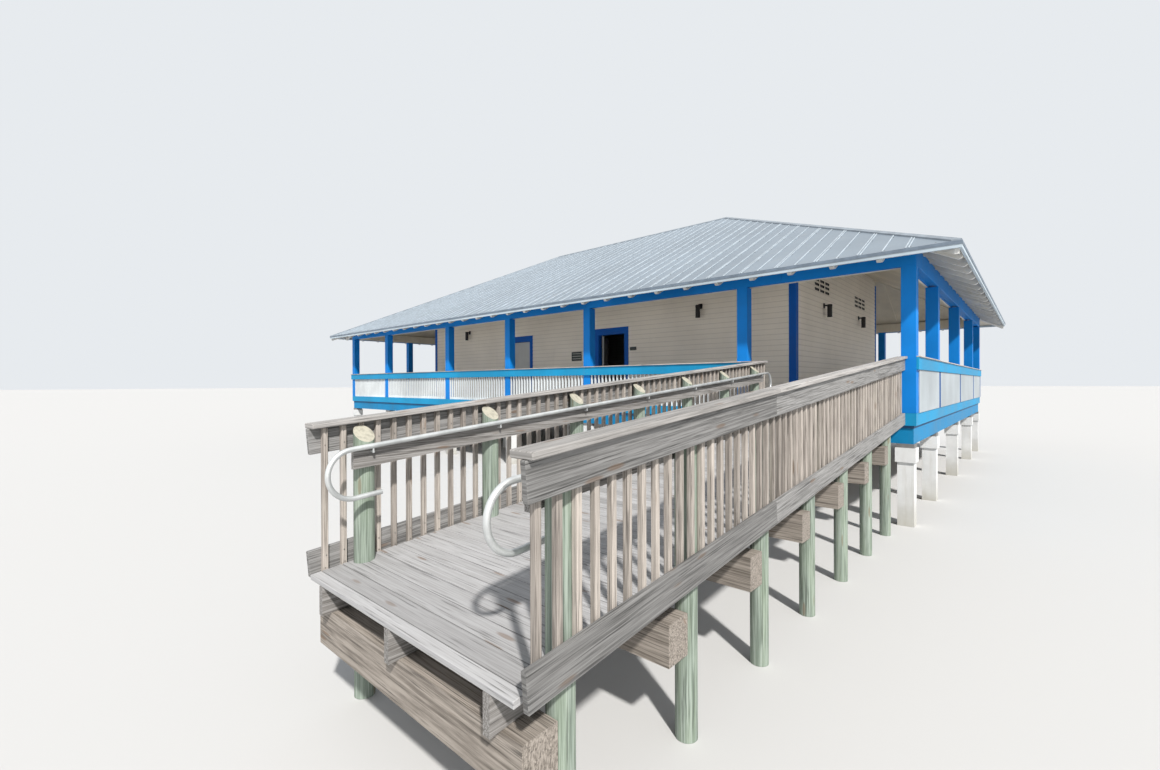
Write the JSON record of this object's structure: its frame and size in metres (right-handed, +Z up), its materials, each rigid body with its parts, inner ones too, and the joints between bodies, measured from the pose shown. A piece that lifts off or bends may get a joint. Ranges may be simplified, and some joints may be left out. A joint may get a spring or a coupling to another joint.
{
  "type": "raised beach pavilion",
  "caption": "Hip-roofed beach building on square piles, with a railed porch all round, a closed lap-sided room, a swinging door and a sloping wooden access ramp.",
  "frame": {"origin": "on the ground, at the foot of the pile below the middle of the building", "axes": "+Z up; -Y is the front, with the door; +X is the end where the ramp comes up"},
  "size_m": [21.501, 21.442, 7.8898],
  "materials": {
    "white_pile": "painted concrete, slightly weathered",
    "grey_block": "dull grey",
    "blue_paint": "exterior paint, satin",
    "cream_paint": "exterior paint, matt",
    "pale_timber": "rough sawn, pale",
    "deck_wood": "weathered boards",
    "white_siding": "painted lap siding",
    "white_trim": "exterior paint, satin",
    "roof_metal": "pale grey standing seam",
    "dark_metal": "powder coated, matt",
    "door_paint": "painted, satin",
    "steel": "dull steel",
    "ramp_wood": "weathered grey timber",
    "treated_pole": "pressure treated, green-grey",
    "pipe_metal": "galvanised and painted"
  },
  "bodies": {
    "building": {"piles": "white_pile", "saddle_blocks": "grey_block", "outer_girders": "blue_paint", "inner_girders": "pale_timber", "joist_bands": "cream_paint", "floor_joists": "pale_timber", "rim_boards": "blue_paint", "floor_deck": "deck_wood", "porch_posts": "blue_paint", "porch_beams": "blue_paint", "front_wall_right": "white_siding", "front_wall_middle": "white_siding", "front_wall_left": "white_siding", "door_heads": "white_siding", "back_wall": "white_siding", "left_wall": "white_siding", "right_wall": "white_siding", "corner_boards": "blue_paint", "door_casings": "blue_paint", "door_hinges": "steel", "closed_leaf": "door_paint", "vent_plates": "dark_metal", "wall_lamps": "dark_metal", "wall_plates": "dark_metal", "porch_ceiling": "cream_paint", "rafters": "cream_paint", "hip_rafters": "cream_paint", "roof_front": "roof_metal", "roof_back": "roof_metal", "roof_left": "roof_metal", "roof_right": "roof_metal", "roof_caps": "roof_metal", "fascia": "white_trim", "drip_edge": "roof_metal", "rail_boards": "blue_paint", "rail_caps": "white_trim", "front_pickets": "white_trim", "back_pickets": "white_trim", "side_panels": "white_trim", "ramp_deck": "deck_wood", "ramp_stringers": "ramp_wood", "ramp_cross_beams": "ramp_wood", "ramp_posts": "treated_pole", "ramp_left_railing": "ramp_wood", "ramp_right_railing": "ramp_wood", "handrail_boards": "ramp_wood", "ramp_handrails": "pipe_metal"},
    "door": {"door_leaf": "door_paint"}
  },
  "joints": [
    {"name": "door_hinge", "type": "hinge", "parent": "building", "child": "door", "pos_m": [1.55, -3.7745, 2.758], "axis": [0, 0, 1], "range_deg": [-120, 55]}
  ]
}
